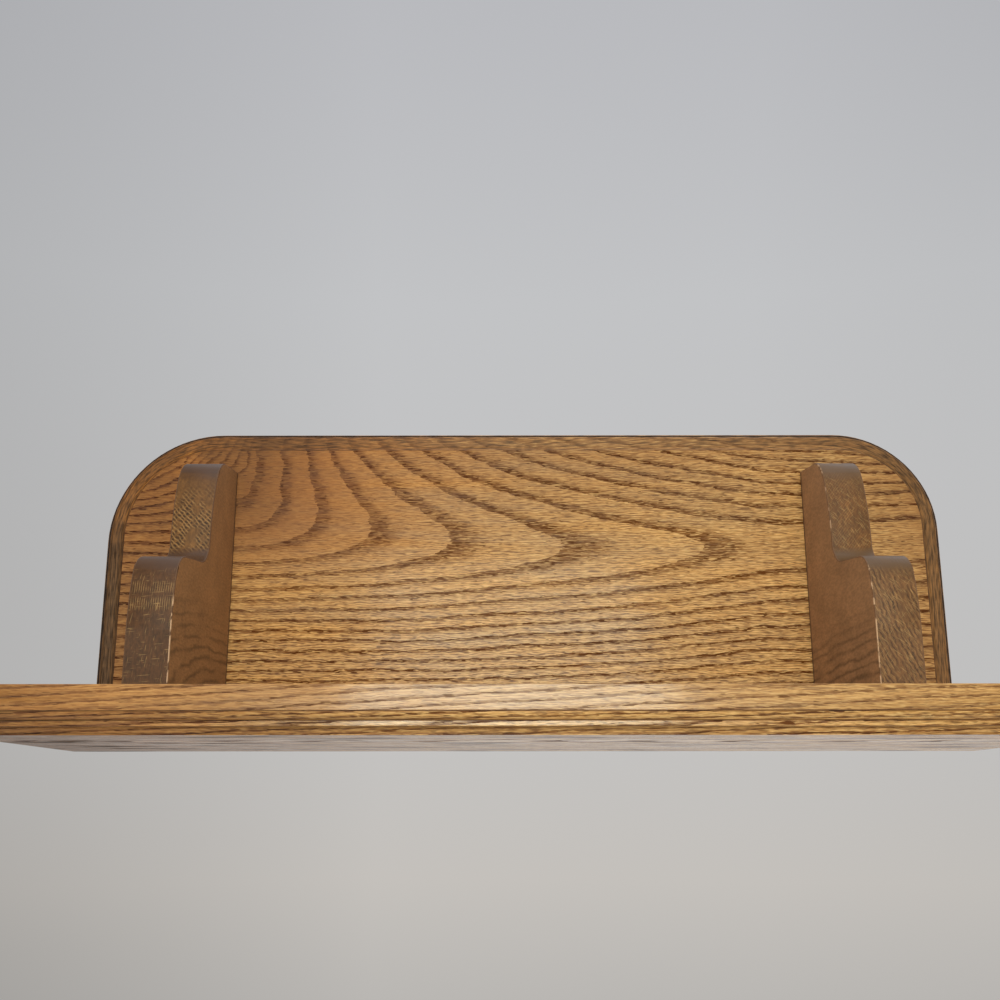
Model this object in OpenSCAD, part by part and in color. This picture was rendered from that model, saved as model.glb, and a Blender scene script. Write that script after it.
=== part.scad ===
/* [Shelf board] */
// Length of the shelf board, end to end
shelf_l = 480.7; // [460:0.1:560]
// Depth of the shelf board, from the wall to its front edge
shelf_d = 152.4; // [146:0.1:190]
// Thickness of the shelf board
shelf_t = 19.05; // [17:0.05:28]

/* [Back board] */
// Length of the back board, end to end
back_l = 434; // [400:1:450]
// Height of the back board above the shelf board
back_h = 146; // [132:1:200]
// Thickness of the back board
back_t = 19.05; // [17:0.05:25]
// Radius of the back board's corner at the left end
left_corner_r = 58; // [20:1:90]
// Radius of the back board's corner at the right end
right_corner_r = 52; // [20:1:90]

/* [Routed edge] */
// Width of the little square step beside the plain edge
quirk_w = 0.5; // [0.2:0.1:1.5]
// Radius of the rounded moulding beside the step
ovolo_r = 3.6; // [2:0.1:5]
// Height of the flat band between the two mouldings
band_h = 2.2; // [0.5:0.1:3]
// Radius of the hollow moulding at the face
cove_r = 3.1; // [1.5:0.1:4]
// Width of the flat floor between the hollow and the band
floor_w = 3.9; // [0:0.1:5]

/* [Brackets] */
// Thickness of each bracket
bracket_t = 19.05; // [16:0.05:24]
// Inner face of the left bracket, from the middle of the shelf
left_inner_x = 149.1; // [146:0.1:170]
// Inner face of the right bracket, from the middle of the shelf
right_inner_x = 144.6; // [143:0.1:170]
// Depth of a bracket at its foot, in front of the back board
bracket_d = 106.8; // [100:0.1:118]
// Height of a bracket at the back board
bracket_h = 123; // [118:1:130]
// Depth of the upper, set-back part of a bracket
upper_d = 50; // [46:0.5:54]
// Height at which the upper part's front face ends
upper_end_h = 72.5; // [70:0.5:76]
// Height of the ledge where the hollow above it runs out
ledge_h = 63; // [60:0.5:66]
// Fall of the top end and of the ledge towards the front, in degrees
fall_angle = 7; // [3:0.5:10]
// Radius of the rounded top corner of the upper part
upper_nose_r = 21; // [14:0.5:24]
// Radius of the rounded top corner of the lower part
lower_nose_r = 16; // [10:0.5:20]
// Radius of the gentle swell of both front faces
swell_r = 95; // [80:1:140]
// Radius of the hollow between the upper part and the ledge
hollow_r = 15.4; // [13:0.2:17]
// Height of the straight stretch of the lower front face
foot_h = 25; // [15:1:30]

/* [Dowels] */
// Radius of each dowel
dowel_r = 4; // [3:0.1:5]
// Length of each dowel
dowel_l = 30; // [26:1:34]
// Depth to which each dowel enters the shelf board
dowel_sink = 12; // [9:0.5:13]
// Radius of the glue grooves along each dowel
flute_r = 0.5; // [0.3:0.1:0.7]
// Distance from the back board's ends to its outer dowels
back_dowel_inset = 45; // [30:1:60]
// Distance from a bracket foot's two ends to its dowels
foot_dowel_inset = 24; // [18:1:30]

/* [Bracket screws] */
// Radius of the bracket screws
screw_r = 2.1; // [1.8:0.1:2.5]
// Length of the bracket screws
screw_l = 50; // [40:1:52]
// Height of the lower screw of each bracket
screw_low_h = 38; // [34:1:50]
// Height of the upper screw of each bracket
screw_high_h = 98; // [84:1:102]

/* [Hanger plates] */
// Distance between the two hanger plates
hanger_gap = 203.2; // [130:0.1:250]
// Height of the wall screws' entry holes above the shelf board
hanger_h = 88.9; // [60:0.1:100]
// Width of a hanger plate
plate_w = 16; // [15:0.5:20]
// Length of a hanger plate
plate_l = 48; // [46:1:56]
// Thickness of a hanger plate
plate_t = 2; // [1.2:0.1:2.6]
// Radius of the entry hole for a wall screw's head
entry_r = 4.75; // [4:0.05:5.5]
// Half the width of the slot that grips the wall screw
slot_r = 2.6; // [2.1:0.1:3]
// Travel of the wall screw up the slot
slot_rise = 11; // [9:0.5:12]
// Depth of the pocket for the wall screw's head, from the wall
pocket_d = 9; // [7:0.5:12]
// Radius of the pocket's round ends
pocket_r = 6; // [5.6:0.1:6.5]
// Radius of the plate screws
plate_screw_r = 1.75; // [1.4:0.05:1.9]
// Length of the plate screws
plate_screw_l = 13; // [10:0.5:14]
// Distance between the two screws of a plate
plate_screw_gap = 35; // [34:0.5:36]

/* [Clearances] */
// Gap between a dowel or a screw and its hole, all round
hole_gap = 0.1; // [0.05:0.01:0.2]
// Gap between a hanger plate and its recess, all round
plate_gap = 0.15; // [0.05:0.01:0.3]
// Spare depth at the blind end of each hole
end_gap = 0.5; // [0.2:0.1:1]
// Depth of a screw head's face below the face that it is sunk in
head_sink = 0.2; // [0.1:0.1:0.5]

/* [Hidden] */
$fn = 96;

// Overshoot of every cutter past the wood that it cuts
spill = 1;
// Depth of the routed edge from the face, and its width from the board's edge
moulding_h = cove_r + band_h + ovolo_r;
shoulder_w = quirk_w + ovolo_r;

// The origin is on the wall, midway between the entry holes of the two hangers
origin_h = shelf_t + hanger_h;

// Middle of each bracket's thickness, left and right
bracket_x = [-left_inner_x - bracket_t / 2, right_inner_x + bracket_t / 2];
// Distances of the foot dowels from the back board, rear and front
foot_dowel_d = [foot_dowel_inset, bracket_d - foot_dowel_inset];
// Places of the back board's dowels along it
back_dowel_count = 4;
back_dowel_step = (back_l - 2 * back_dowel_inset) / (back_dowel_count - 1);
back_dowel_x = [for (i = [0 : back_dowel_count - 1]) back_dowel_inset - back_l / 2 + i * back_dowel_step];
flute_count = 12;
dowel_chamfer = 0.8;

// Screw proportions, as shares of the thread's radius
head_share = 2;
core_share = 0.7;
pitch_share = 1.1;
rim_h = 0.3;
cross_share = 0.26;
screw_h = [screw_low_h, screw_high_h];

// Hangers: their places along the back board, and the heights of their parts
// above the entry hole
hanger_x = [-hanger_gap / 2, hanger_gap / 2];
plate_mid = slot_rise / 2 - 0.5;
plate_screw_z = [plate_mid - plate_screw_gap / 2, plate_mid + plate_screw_gap / 2];

// Colours, as the stained oak, the dowels and the steel look
shelf_colour = [0.74, 0.52, 0.29];
back_colour = [0.70, 0.48, 0.26];
bracket_colour = [0.54, 0.36, 0.20];
dowel_colour = [0.85, 0.72, 0.52];
steel_colour = [0.72, 0.72, 0.70];

// What the router takes off: x runs in from the board's edge, y runs down from its face
module moulding_waste() {
    translate([-spill, -spill]) square([shoulder_w + spill, cove_r + band_h + spill]);
    translate([0, -spill]) square([shoulder_w + floor_w, cove_r + spill]);
    translate([shoulder_w + floor_w, 0]) circle(cove_r);
    difference() {
        translate([-spill, cove_r]) square([shoulder_w + spill, band_h + ovolo_r]);
        translate([shoulder_w, moulding_h]) circle(ovolo_r);
    }
}

// The router's straight pass, along +X, on a board that lies face up and fills y below 0
module straight_pass(length) {
    rotate([180, 0, 0]) rotate([90, 0, 90]) linear_extrude(length) moulding_waste();
}

// The router's pass round a corner that turns from +X to +Y
module corner_pass(r) {
    rotate_extrude(angle = 90) translate([r, 0]) rotate(180) moulding_waste();
}

// What is left outside a rounded corner in the same quarter
module spandrel(r) {
    difference() {
        square(r + spill);
        circle(r);
    }
}

// A board that lies face up below z = 0, with its plain long edge on the X axis. The router
// has gone along its two ends and its far edge, and round its two far corners.
module routed_board(length, width, thickness, left_r, right_r) {
    left_over = left_r > 0 ? 0 : spill;
    right_over = right_r > 0 ? 0 : spill;
    difference() {
        translate([0, 0, -thickness]) linear_extrude(thickness) difference() {
            translate([-length / 2, 0]) square([length, width]);
            if (left_r > 0) translate([left_r - length / 2, width - left_r]) rotate(90) spandrel(left_r);
            if (right_r > 0) translate([length / 2 - right_r, width - right_r]) spandrel(right_r);
        }
        translate([left_r - length / 2 - left_over, width, 0])
            straight_pass(length - left_r - right_r + left_over + right_over);
        translate([-length / 2, -spill, 0]) rotate(90) straight_pass(width - left_r + spill + left_over);
        translate([length / 2, width - right_r + right_over, 0]) rotate(-90)
            straight_pass(width - right_r + spill + right_over);
        if (left_r > 0) translate([left_r - length / 2, width - left_r, 0]) rotate(90) corner_pass(left_r);
        if (right_r > 0) translate([length / 2 - right_r, width - right_r, 0]) corner_pass(right_r);
    }
}

// From the shelf's own height to the part's origin
module placed() {
    translate([0, 0, -origin_h]) children();
}

// Puts what is drawn face up at z = 0 on the wall plane, face to the wall
module on_wall(x, z) {
    translate([x, 0, z]) rotate([90, 0, 180]) children();
}

// A hole for a dowel that stands across the joint at z = 0
module dowel_hole(below, above) {
    translate([0, 0, -below]) cylinder(r = dowel_r + hole_gap, h = below + above);
}

// A fluted dowel that stands across the joint at z = 0
module dowel() {
    top = dowel_l - dowel_sink;
    color(dowel_colour) difference() {
        rotate_extrude() polygon([
            [0, -dowel_sink], [dowel_r - dowel_chamfer, -dowel_sink],
            [dowel_r, dowel_chamfer - dowel_sink], [dowel_r, top - dowel_chamfer],
            [dowel_r - dowel_chamfer, top], [0, top]
        ]);
        for (i = [0 : flute_count - 1]) rotate(i * 360 / flute_count)
            translate([dowel_r, 0, -dowel_sink - spill]) cylinder(r = flute_r, h = dowel_l + 2 * spill);
    }
}

// A countersunk wood screw, head up at z = 0, with its thread along the last grip_l
module wood_screw(r, length, grip_l) {
    head_r = r * head_share;
    head_h = head_r - r + rim_h;
    core_r = r * core_share;
    pitch = r * pitch_share;
    tip_h = 2 * r;
    turns = floor((grip_l - tip_h) / pitch);
    thread_top = tip_h + turns * pitch - length;
    ridges = [for (i = [0 : turns - 1], side = [0, 1])
        [side == 0 ? r : core_r, thread_top - (i + side / 2 + 0.25) * pitch]];
    cross_w = head_r * cross_share;
    color(steel_colour) difference() {
        rotate_extrude() polygon(concat(
            [[0, 0], [head_r, 0], [head_r, -rim_h], [r, -head_h], [r, thread_top + pitch / 4],
             [core_r, thread_top]],
            ridges,
            [[core_r, tip_h - length], [0, -length]]
        ));
        for (a = [0, 90]) rotate(a) translate([-head_r * 0.6, -cross_w / 2, -r])
            cube([head_r * 1.2, cross_w, r + spill]);
    }
}

// The hole for such a screw: room for the head from above the face, then for the body
module screw_hole(r, length) {
    head_r = r * head_share + hole_gap;
    body_r = r + hole_gap;
    sunk = head_sink + rim_h + hole_gap;
    translate([0, 0, -sunk]) cylinder(r = head_r, h = sunk + spill);
    translate([0, 0, body_r - head_r - sunk]) cylinder(r1 = body_r, r2 = head_r, h = head_r - body_r);
    translate([0, 0, -length - head_sink - end_gap]) cylinder(r = body_r, h = length + head_sink);
}

// A slot with round ends, from y = low to y = high
module round_slot(r, low, high) {
    translate([-r, low]) square([2 * r, high - low]);
    translate([0, low]) circle(r);
    translate([0, high]) circle(r);
}

// Outline of a hanger plate or, grown by a gap, of its recess
module plate_outline(grow) {
    end = (plate_l - plate_w) / 2;
    round_slot(plate_w / 2 + grow, plate_mid - end, plate_mid + end);
}

// What a hanger needs cut into the wood behind it, drawn with the wall at z = 0
module hanger_cuts() {
    translate([0, 0, -plate_t]) linear_extrude(plate_t + spill) plate_outline(plate_gap);
    translate([0, 0, -pocket_d]) linear_extrude(pocket_d) round_slot(pocket_r, 0, slot_rise);
    for (z = plate_screw_z) translate([0, z, 0]) screw_hole(plate_screw_r, plate_screw_l);
}

// A keyhole hanger plate, drawn with the wall at z = 0 and its entry hole at the origin
module hanger_plate() {
    color(steel_colour) difference() {
        translate([0, 0, -plate_t]) linear_extrude(plate_t) difference() {
            plate_outline(0);
            circle(entry_r);
            round_slot(slot_r, 0, slot_rise);
        }
        for (z = plate_screw_z) translate([0, z, 0]) screw_hole(plate_screw_r, plate_screw_l);
    }
}

// Where the rounded corner of a bracket's front sits: it touches the sloping line through p0
// and, from within, the swell whose front is at depth d and height h
function nose_centre(p0, r, d, h) =
    let (
        along = [cos(fall_angle), -sin(fall_angle)],
        up = [sin(fall_angle), cos(fall_angle)],
        start = p0 - r * up,
        from_swell = start - [d - swell_r, h],
        reach = swell_r - r,
        half = from_swell * along
    )
    start + (sqrt(half * half - from_swell * from_swell + reach * reach) - half) * along;

// What is cut off one front of a bracket, from height h up, to leave its round nose and the
// swell that bulges out to depth d
module front_waste(p0, r, d, h) {
    up = [sin(fall_angle), cos(fall_angle)];
    centre = nose_centre(p0, r, d, h);
    swell = [d - swell_r, h];
    outward = (centre - swell) / norm(centre - swell);
    difference() {
        polygon([centre, centre + 2 * r * up, centre + 2 * r * (up + outward), centre + 2 * r * outward]);
        translate(centre) circle(r);
    }
    difference() {
        polygon([centre, centre + 2 * r * outward, [d + r, h], [d - r, h]]);
        translate(swell) circle(swell_r);
    }
}

// Outline of a bracket: x is the depth in front of the back board, y the height
module bracket_outline() {
    fall = tan(fall_angle);
    hollow_h = ledge_h + hollow_r * cos(fall_angle);
    hollow = [upper_d + sqrt(pow(hollow_r, 2) - pow(hollow_h - upper_end_h, 2)), hollow_h];
    ledge = hollow - hollow_r * [sin(fall_angle), cos(fall_angle)];
    difference() {
        polygon([
            [0, 0], [0, bracket_h], [upper_d, bracket_h - fall * upper_d], [upper_d, upper_end_h],
            ledge, [bracket_d, ledge[1] - fall * (bracket_d - ledge[0])], [bracket_d, 0]
        ]);
        front_waste([0, bracket_h], upper_nose_r, upper_d, upper_end_h);
        front_waste(ledge, lower_nose_r, bracket_d, foot_h);
        difference() {
            translate(hollow) circle(hollow_r);
            translate([upper_d - hollow_r, upper_end_h]) square(4 * hollow_r);
        }
    }
}

// One bracket, side = 0 on the left and 1 on the right
module bracket(side) {
    color(bracket_colour) placed() difference() {
        translate([bracket_x[side] + bracket_t / 2, -back_t, shelf_t]) rotate([90, 0, -90])
            linear_extrude(bracket_t) bracket_outline();
        for (d = foot_dowel_d) translate([bracket_x[side], -back_t - d, shelf_t])
            dowel_hole(spill, dowel_l - dowel_sink + end_gap);
        for (h = screw_h) on_wall(bracket_x[side], shelf_t + h) screw_hole(screw_r, screw_l);
    }
}

module shelf_board() {
    color(shelf_colour) placed() difference() {
        rotate([180, 0, 0]) routed_board(shelf_l, shelf_d, shelf_t, 0, 0);
        for (x = back_dowel_x) translate([x, -back_t / 2, shelf_t]) dowel_hole(dowel_sink + end_gap, spill);
        for (x = bracket_x, d = foot_dowel_d) translate([x, -back_t - d, shelf_t])
            dowel_hole(dowel_sink + end_gap, spill);
    }
}

module back_board() {
    color(back_colour) placed() difference() {
        translate([0, -back_t, shelf_t]) rotate([90, 0, 0])
            routed_board(back_l, back_h, back_t, left_corner_r, right_corner_r);
        for (x = back_dowel_x) translate([x, -back_t / 2, shelf_t])
            dowel_hole(spill, dowel_l - dowel_sink + end_gap);
        for (x = bracket_x, h = screw_h) on_wall(x, shelf_t + h) screw_hole(screw_r, screw_l);
        for (x = hanger_x) on_wall(x, shelf_t + hanger_h) hanger_cuts();
    }
}

module bracket_left() {
    bracket(0);
}

module bracket_right() {
    bracket(1);
}

// One of the dowels between the back board and the shelf board, counted from the left
module back_dowel(i) {
    placed() translate([back_dowel_x[i - 1], -back_t / 2, shelf_t]) dowel();
}

// One of the dowels under a bracket: place = 0 at the rear and 1 at the front
module foot_dowel(side, place) {
    placed() translate([bracket_x[side], -back_t - foot_dowel_d[place], shelf_t]) dowel();
}

// One of the screws from the wall side into a bracket: place = 0 is the lower one
module bracket_screw(side, place) {
    placed() on_wall(bracket_x[side], shelf_t + screw_h[place])
        translate([0, 0, -head_sink]) wood_screw(screw_r, screw_l, screw_l - back_t);
}

module hanger(side) {
    placed() on_wall(hanger_x[side], shelf_t + hanger_h) hanger_plate();
}

// One of the screws of a hanger plate: place = 0 is the lower one
module plate_screw(side, place) {
    placed() on_wall(hanger_x[side], shelf_t + hanger_h + plate_screw_z[place])
        translate([0, 0, -head_sink]) wood_screw(plate_screw_r, plate_screw_l, plate_screw_l - plate_t);
}

shelf_board();
back_board();
bracket_left();
bracket_right();
back_dowel(1);  // back_dowel_1
back_dowel(2);  // back_dowel_2
back_dowel(3);  // back_dowel_3
back_dowel(4);  // back_dowel_4
foot_dowel(0, 0);  // left_dowel_rear
foot_dowel(0, 1);  // left_dowel_front
foot_dowel(1, 0);  // right_dowel_rear
foot_dowel(1, 1);  // right_dowel_front
bracket_screw(0, 0);  // left_screw_lower
bracket_screw(0, 1);  // left_screw_upper
bracket_screw(1, 0);  // right_screw_lower
bracket_screw(1, 1);  // right_screw_upper
hanger(0);  // hanger_left
hanger(1);  // hanger_right
plate_screw(0, 0);  // hanger_left_screw_lower
plate_screw(0, 1);  // hanger_left_screw_upper
plate_screw(1, 0);  // hanger_right_screw_lower
plate_screw(1, 1);  // hanger_right_screw_upper
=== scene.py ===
"""Looks for a small wall shelf in honey-stained, varnished oak.

Places and sizes are in millimetres, in the frame's own directions, unless a comment says metres.
In the functions, t is the node tree of a material, and mm is the place on a piece in millimetres.
"""

import math

import bpy
from mathutils import Matrix, Vector


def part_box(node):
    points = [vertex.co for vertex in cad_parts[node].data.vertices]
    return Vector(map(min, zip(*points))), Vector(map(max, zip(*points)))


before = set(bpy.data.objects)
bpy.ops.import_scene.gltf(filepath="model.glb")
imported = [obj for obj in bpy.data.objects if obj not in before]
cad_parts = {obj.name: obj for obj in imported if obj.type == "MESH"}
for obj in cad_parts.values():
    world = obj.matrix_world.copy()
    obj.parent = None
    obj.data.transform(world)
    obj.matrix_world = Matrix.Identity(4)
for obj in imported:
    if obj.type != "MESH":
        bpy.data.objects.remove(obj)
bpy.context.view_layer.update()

MM = 0.001

# Camera: its place, how far it looks up, its small turn and tilt, its lens and the sensor behind it
CAMERA_AT = Vector((-11.6, -623.5, -135.7))
CAMERA_UP_DEG = 14.37
CAMERA_TURN_DEG = -0.05
CAMERA_ROLL_DEG = -0.04
CAMERA_LENS = 43.22
CAMERA_SENSOR = 36
# The camera sees nothing nearer than this
CAMERA_NEAR = 10

# Tones of the pale wall, from below the shelf to well above it
WALL_TONES = ((0.0, "#b2b0ad"), (0.18, "#c4c0bb"), (0.35, "#c3c2c1"), (0.75, "#c2c3c5"), (1.0, "#b9babe"))

# Oak: typical for wood under varnish
OAK_IOR = 1.5
# Late wood, pore bands, pores and pale flecks of the boards; the flecks are partly painted glints
BOARD_TONES = ("#cb9754", "#7e4a0a", "#5e3203", "#ebbf7a")
# Sawn ends of the boards drink more stain
BOARD_END_TONE = "#b09a84"
# The same four tones and the ends of the dowels, which nothing has been put on
DOWEL_TONES = ("#d9b98a", "#c49c68", "#9a7444", "#e0c79c")
DOWEL_END_TONE = "#e0d0c0"
# What a saw leaves on the brackets' fronts: stain in the dents, and pale ridges and scratches
DENT_TONE = "#342010"
RIDGE_TONE = "#b08c54"
# Oak that a knock has bared
BARE_TONE = "#c9a27c"

# Sharp edges of the shelf board are eased with sandpaper by this much
EASED = 0.2
# The brackets' edges are knocked and worn a little rounder
WORN = 0.5
# An edge is eased where its faces turn by more than this
SHARP_DEG = 32

# How deep the router cut the moulding of both boards
ROUTED_DEEP = 8.9
# Between the brackets' lower fronts and their upper fronts, which are set back
STEP_Y = -88.0

# Radii of the back board's corners at the left and at the right
CORNER_RADII = (58, 52)

# The heart of the back board's tree, and where rings start to stand upright to the right of it
HEART_X = -169.9
UPRIGHT_X = -135.0
# Gaps between the back board's level rings, under the points and at the left end
LEVEL_GAP = 4.7
LEFT_END_GAP = 5.34
# The gap between the shelf board's rings, and the line that they run round
SHELF_GAP = 2.6
SHELF_HEART_Y = -96.0
SHELF_HEART_Z = -150.0

# How a band of open pores fades from the start of a growth ring, at 0, to the next one, at 1
BAND_FADE = ((0.0, 1.0), (0.14, 1.0), (0.25, 0.78), (0.36, 0.3), (0.54, 0.05), (0.98, 0.0))
# Real fibres of oak are far finer. They are drawn this far apart so that they show
FIBRE_GAP = 1.2


def box_mm(node):
    """A CAD node's lowest and highest corners in millimetres."""
    return [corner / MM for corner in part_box(node)]


# Faces that the patterns follow
BACK_FACE_Y = box_mm("back_board")[0].y
BACK_END_X, _, BACK_TOP_Z = box_mm("back_board")[1]
SHELF_UNDER_Z, SHELF_TOP_Z = (corner.z for corner in box_mm("shelf_board"))
LEFT_INNER_X = box_mm("bracket_left")[1].x
RIGHT_INNER_X = box_mm("bracket_right")[0].x


def linear(hex_colour):
    """Turns an sRGB hex colour into the linear RGBA that shaders use."""
    parts = [int(hex_colour[i:i + 2], 16) / 255 for i in (1, 3, 5)]
    return tuple(p / 12.92 if p <= 0.04045 else ((p + 0.055) / 1.055) ** 2.4 for p in parts) + (1.0,)


def add(tree, kind, inputs=(), stops=(), **settings):
    """Adds a shader node and gives its first output that is in use.

    Inputs are links or plain values, in the order of the node's sockets or by socket name. Stops are
    a colour ramp's places and colours.
    """
    node = tree.nodes.new("ShaderNode" + kind)
    for name, value in settings.items():
        setattr(node, name, value)
    if stops:
        ramp = node.color_ramp.elements
        while len(ramp) < len(stops):
            ramp.new(0.5)
        for element, (place, colour) in zip(ramp, stops):
            element.position = place
            element.color = colour
    in_use = [s for s in node.inputs if s.enabled]
    pairs = inputs.items() if isinstance(inputs, dict) else enumerate(inputs)
    for key, value in pairs:
        socket = node.inputs[key] if isinstance(key, str) else in_use[key]
        if isinstance(value, bpy.types.NodeSocket):
            tree.links.new(value, socket)
        elif value is not None:
            socket.default_value = value
    return next((s for s in node.outputs if s.enabled), None)


def new_material(name):
    """Makes an empty material and gives it with its node tree."""
    material = bpy.data.materials.new(name)
    material.use_nodes = True
    material.node_tree.nodes.clear()
    return material, material.node_tree


def surface(t):
    """The place on a piece in millimetres, and the way its surface faces."""
    place = add(t, "TexCoord").node.outputs
    mm = add(t, "VectorMath", {"Vector": place["Object"], "Scale": 1 / MM}, operation="SCALE")
    return mm, place["Normal"]


def place_camera():
    """Makes the camera of the photographed view."""
    up, turn, roll = (math.radians(a) for a in (CAMERA_UP_DEG, CAMERA_TURN_DEG, CAMERA_ROLL_DEG))
    forward = Vector((math.sin(turn) * math.cos(up), math.cos(turn) * math.cos(up), math.sin(up)))
    level = Vector((math.cos(turn), -math.sin(turn), 0))
    over = level.cross(forward)
    right = math.cos(roll) * level + math.sin(roll) * over
    top = math.cos(roll) * over - math.sin(roll) * level
    data = bpy.data.cameras.new("photo_camera")
    data.lens = CAMERA_LENS
    data.sensor_width = CAMERA_SENSOR
    data.clip_start = CAMERA_NEAR * MM
    camera = bpy.data.objects.new("photo_camera", data)
    turned = Matrix((right, top, -forward)).transposed().to_4x4()
    camera.matrix_world = Matrix.Translation(CAMERA_AT * MM) @ turned
    bpy.context.scene.collection.objects.link(camera)
    bpy.context.scene.camera = camera


def area_light(name, place, aim, size, power, colour):
    """A square soft light at a place, turned to an aim point. It is in metres, and power in watts."""
    data = bpy.data.lights.new(name, "AREA")
    data.shape = "SQUARE"
    data.size = size
    data.energy = power
    data.color = linear(colour)[:3]
    light = bpy.data.objects.new(name, data)
    light.location = place
    light.rotation_euler = (Vector(aim) - Vector(place)).to_track_quat("-Z", "Y").to_euler()
    bpy.context.scene.collection.objects.link(light)


def pale_room(strength):
    """Even light from all round. The camera and reflections see pale painted walls instead."""
    world = bpy.data.worlds.new("pale_room")
    bpy.context.scene.world = world
    world.use_nodes = True
    t = world.node_tree
    t.nodes.clear()
    # The way that a ray looks, with 1 as straight along X, Y or Z
    x, y, z = add(t, "SeparateXYZ", [add(t, "TexCoord")]).node.outputs
    rise = add(t, "MapRange", {"Value": z, "From Min": -0.2, "From Max": 0.6})
    wall = add(t, "ValToRGB", [rise], stops=[(place, linear(tone)) for place, tone in WALL_TONES])
    # The walls are dimmer at the far left and, less so, at the far right
    for dimmest, full, start, end, start_share, end_share in (
            (-0.38, -0.1, -0.1, 0.1, 0.75, 0.84), (0.36, 0.2, 0.6, 0.25, 0.92, 0.97)):
        least = add(t, "MapRange", {"Value": z, "From Min": start, "From Max": end,
                                    "To Min": start_share, "To Max": end_share})
        beside = add(t, "MapRange", {"Value": x, "From Min": dimmest, "From Max": full, "To Min": least})
        wall = add(t, "VectorMath", {"Vector": wall, "Scale": beside}, operation="SCALE")
    path = add(t, "LightPath").node.outputs
    seen = add(t, "Math", [path["Is Camera Ray"], path["Is Transmission Ray"]], operation="MAXIMUM")
    lighting = add(t, "Background", [linear("#fffdfa"), strength])
    shown = add(t, "Background", [wall, 1.0])
    # The room in front of the shelf is dimmer than the pale wall behind it, and varnish mirrors that
    depth = add(t, "MapRange", {"Value": y, "From Min": -0.4, "From Max": 0.3,
                                "To Min": 0.2, "To Max": 1.8})
    dim = add(t, "MapRange", {"Value": x, "From Min": -0.38, "From Max": 0.05, "To Min": 0.62})
    depth = add(t, "Math", [depth, dim], operation="MULTIPLY")
    mirrored = add(t, "Background", [wall, depth])
    shown = add(t, "MixShader", [path["Is Glossy Ray"], shown, mirrored])
    seen = add(t, "Math", [seen, path["Is Glossy Ray"]], operation="MAXIMUM")
    add(t, "OutputWorld", [add(t, "MixShader", [seen, lighting, shown])])


def pale_floor(height, radius, corners=96):
    """A round pale floor well under the shelf, out of the photographed view. It is in metres."""
    turns = (2 * math.pi * i / corners for i in range(corners))
    rim = [Vector((radius * math.cos(a), radius * math.sin(a), height)) for a in turns]
    mesh = bpy.data.meshes.new("pale_floor")
    mesh.from_pydata(rim, [], [range(corners)])
    floor = bpy.data.objects.new("pale_floor", mesh)
    bpy.context.scene.collection.objects.link(floor)
    # Matt paint gives the eye one even pale grey
    material, t = new_material("painted_floor")
    shader = add(t, "BsdfPrincipled", {"Base Color": linear("#c9c7c3"), "Roughness": 0.9})
    add(t, "OutputMaterial", [shader])
    mesh.materials.append(material)


def streaks(t, mm, size, detail=2.0, shift=None):
    """Random streaks from 0 to 1 of this size along X, Y and Z.

    Two sets of streaks that must not fall in the same places have a different shift.
    """
    if shift:
        mm = add(t, "VectorMath", [mm, shift], operation="ADD")
    spread = add(t, "VectorMath", [mm, [1 / s for s in size]], operation="MULTIPLY")
    return add(t, "TexNoise", {"Vector": spread, "Scale": 1.0, "Detail": detail})


def wandered(t, mm, steps):
    """The place mm moved about at random, because wood is never straight.

    Each step is the size of the patches that move together, and about how far they move at most.
    """
    for size, reach in steps:
        noise = streaks(t, mm, size).node.outputs["Color"]
        centred = add(t, "VectorMath", [noise, (0.5, 0.5, 0.5)], operation="SUBTRACT")
        moved = add(t, "VectorMath", [centred, [2 * r for r in reach]], operation="MULTIPLY")
        mm = add(t, "VectorMath", [mm, moved], operation="ADD")
    return mm


def graded(t, share, value, start, end, change):
    """A share, left as it is where value is at start and multiplied by change where it is at end."""
    by = add(t, "MapRange", {"Value": value, "From Min": start, "From Max": end,
                             "To Min": 1.0, "To Max": change})
    return add(t, "Math", [share, by], operation="MULTIPLY")


def lined(t, share, value, line, full, none, least):
    """A share, darkened to least in a thin line where value is near line.

    Full is how far to each side the line has its whole depth, and none is where it ends.
    """
    off = add(t, "Math", [add(t, "Math", [value, line], operation="SUBTRACT")], operation="ABSOLUTE")
    dark = add(t, "MapRange", {"Value": off, "From Min": full, "From Max": none, "To Min": least})
    return add(t, "Math", [share, dark], operation="MULTIPLY")


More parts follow.
